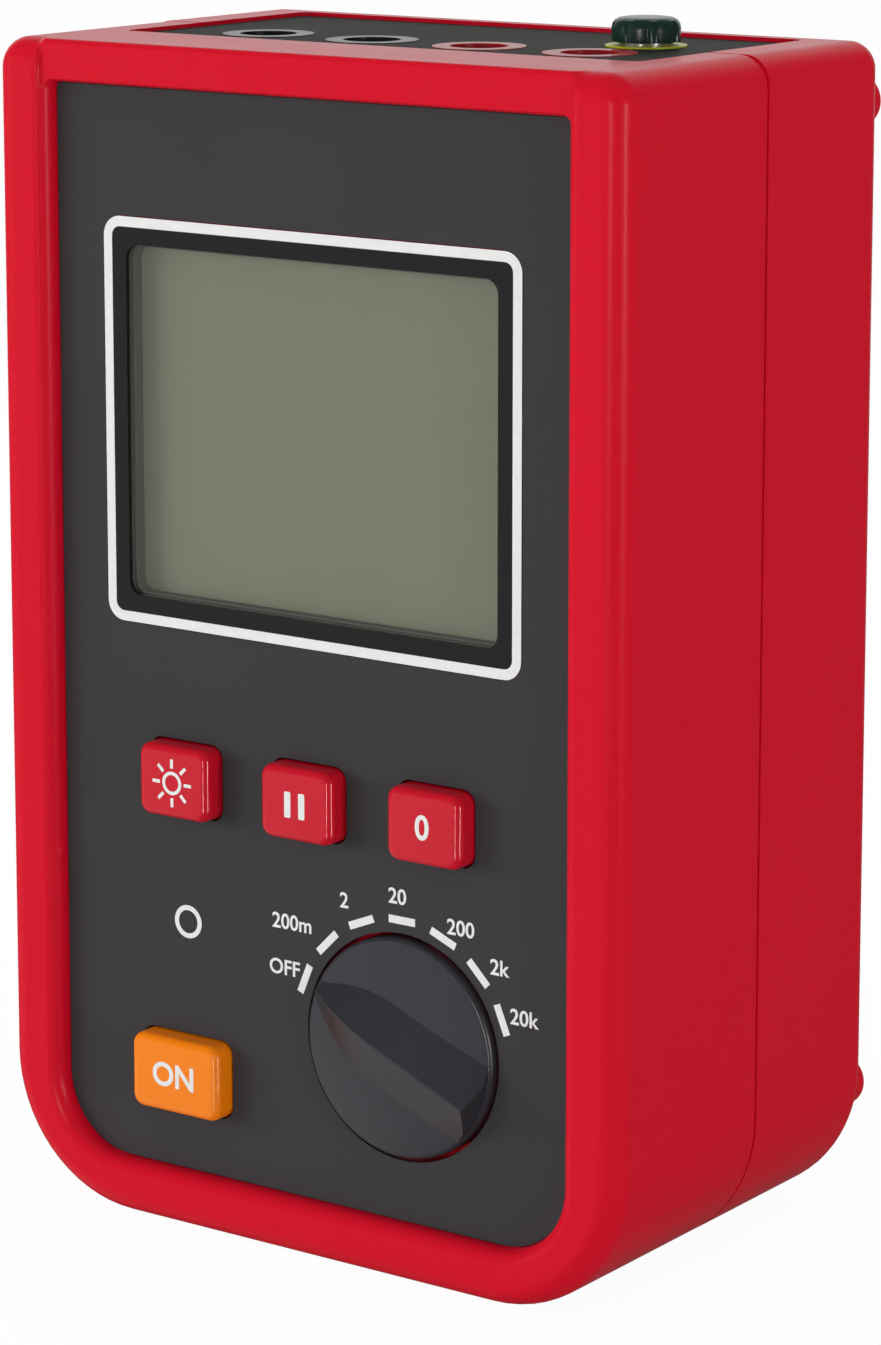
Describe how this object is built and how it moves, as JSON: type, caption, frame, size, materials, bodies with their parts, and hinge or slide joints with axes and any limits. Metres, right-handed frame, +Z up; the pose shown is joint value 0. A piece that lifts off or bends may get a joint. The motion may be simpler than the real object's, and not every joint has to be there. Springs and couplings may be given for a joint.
{
  "type": "micro ohmmeter",
  "caption": "Portable low-resistance meter: two-shell case with a sunk front panel, display, push-buttons, range knob and a top plate of plug sockets with a guard post.",
  "frame": {"origin": "centre of the base, under the case", "axes": "+X to the right as the front is faced, +Y from the front to the back, +Z up"},
  "size_m": [0.11, 0.0731, 0.1793],
  "materials": {
    "case_red": "fine satin moulded ABS",
    "panel_dark": "matt printed polycarbonate",
    "frame_black": "semi-gloss black plastic",
    "lens_clear": "clear acrylic",
    "lcd_grey": "grey-green liquid crystal",
    "black_plastic": "moulded black plastic",
    "white_plastic": "moulded white nylon",
    "pink_rubber": "layered silicone rubber",
    "plate_dark": "matt dark plastic",
    "socket_red": "red polyamide",
    "contact_brass": "turned brass",
    "plated_steel": "nickel plated",
    "collar_yellow": "yellow polyamide",
    "nut_green": "dark green polyamide",
    "board_green": "green solder mask",
    "key_red": "glossy moulded ABS",
    "key_orange": "glossy moulded ABS",
    "plunger_brown": "moulded acetal",
    "knob_grey": "satin moulded charcoal plastic",
    "lamp_red": "tinted epoxy",
    "pipe_clear": "clear acrylic",
    "shunt_alloy": "copper alloy",
    "sink_aluminium": "extruded",
    "cell_blue": "plain printed wrap"
  },
  "bodies": {
    "case": {"front_shell": "case_red", "rear_shell": "case_red", "front_panel": "panel_dark", "display_frame": "frame_black", "window_lens": "lens_clear", "lcd_glass": "lcd_grey", "lcd_holder": "black_plastic", "lcd_backlight": "white_plastic", "lcd_contact_strips": "pink_rubber", "terminal_plate": "plate_dark", "c1_socket": "frame_black", "p1_socket": "frame_black", "p2_socket": "socket_red", "c2_socket": "socket_red", "c1_contact": "contact_brass", "p1_contact": "contact_brass", "p2_contact": "contact_brass", "c2_contact": "contact_brass", "guard_post_stud": "plated_steel", "guard_post_collar": "collar_yellow", "guard_post_locknut": "plated_steel", "terminal_board": "board_green", "key_switches": "plated_steel", "detent_ring": "black_plastic", "test_lamp": "lamp_red", "lamp_light_pipe": "pipe_clear", "main_board": "board_green", "board_screws": "plated_steel", "board_header": "white_plastic", "current_shunt": "shunt_alloy", "heat_sink": "sink_aluminium", "power_transistor": "black_plastic", "buzzer": "black_plastic", "battery_door": "case_red", "battery_cells": "cell_blue", "battery_contacts": "plated_steel", "door_screws": "plated_steel", "case_screws": "plated_steel"},
    "light_key": {"light_button": "key_red", "light_plunger": "plunger_brown"},
    "hold_key": {"hold_button": "key_red", "hold_plunger": "plunger_brown"},
    "zero_key": {"zero_button": "key_red", "zero_plunger": "plunger_brown"},
    "test_key": {"test_button": "key_orange", "test_plunger": "plunger_brown"},
    "selector": {"range_knob": "knob_grey", "switch_rotor": "white_plastic", "rotor_wipers": "contact_brass", "rotor_screw": "plated_steel", "detent_balls": "plated_steel"},
    "post_washer": {"guard_post_washer": "plated_steel"},
    "post_nut": {"guard_post_nut": "nut_green"}
  },
  "joints": [
    {"name": "light_press", "type": "slide", "parent": "case", "child": "light_key", "axis": [0, 1, 0], "range_m": [0, 0.0012], "stiffness_N_per_m": 1500, "springref_m": -0.0008},
    {"name": "hold_press", "type": "slide", "parent": "case", "child": "hold_key", "axis": [0, 1, 0], "range_m": [0, 0.0012], "stiffness_N_per_m": 1500, "springref_m": -0.0008},
    {"name": "zero_press", "type": "slide", "parent": "case", "child": "zero_key", "axis": [0, 1, 0], "range_m": [0, 0.0012], "stiffness_N_per_m": 1500, "springref_m": -0.0008},
    {"name": "test_press", "type": "slide", "parent": "case", "child": "test_key", "axis": [0, 1, 0], "range_m": [0, 0.0012], "stiffness_N_per_m": 1500, "springref_m": -0.0008},
    {"name": "range_turn", "type": "hinge", "parent": "case", "child": "selector", "pos_m": [0.0164, -0.03, 0.0343], "axis": [0, 1, 0], "range_deg": [0, 135]},
    {"name": "washer_rise", "type": "slide", "parent": "case", "child": "post_washer", "axis": [0, 0, 1], "range_m": [0, 0.0014]},
    {"name": "nut_turn", "type": "hinge", "parent": "post_washer", "child": "post_nut", "pos_m": [0.0285, 0.012, 0.175], "axis": [0, 0, 1], "range_deg": [0, 720]}
  ],
  "couplings": [
    {"joint": "nut_turn", "follows": "washer_rise", "rad_per_m": 8975}
  ]
}
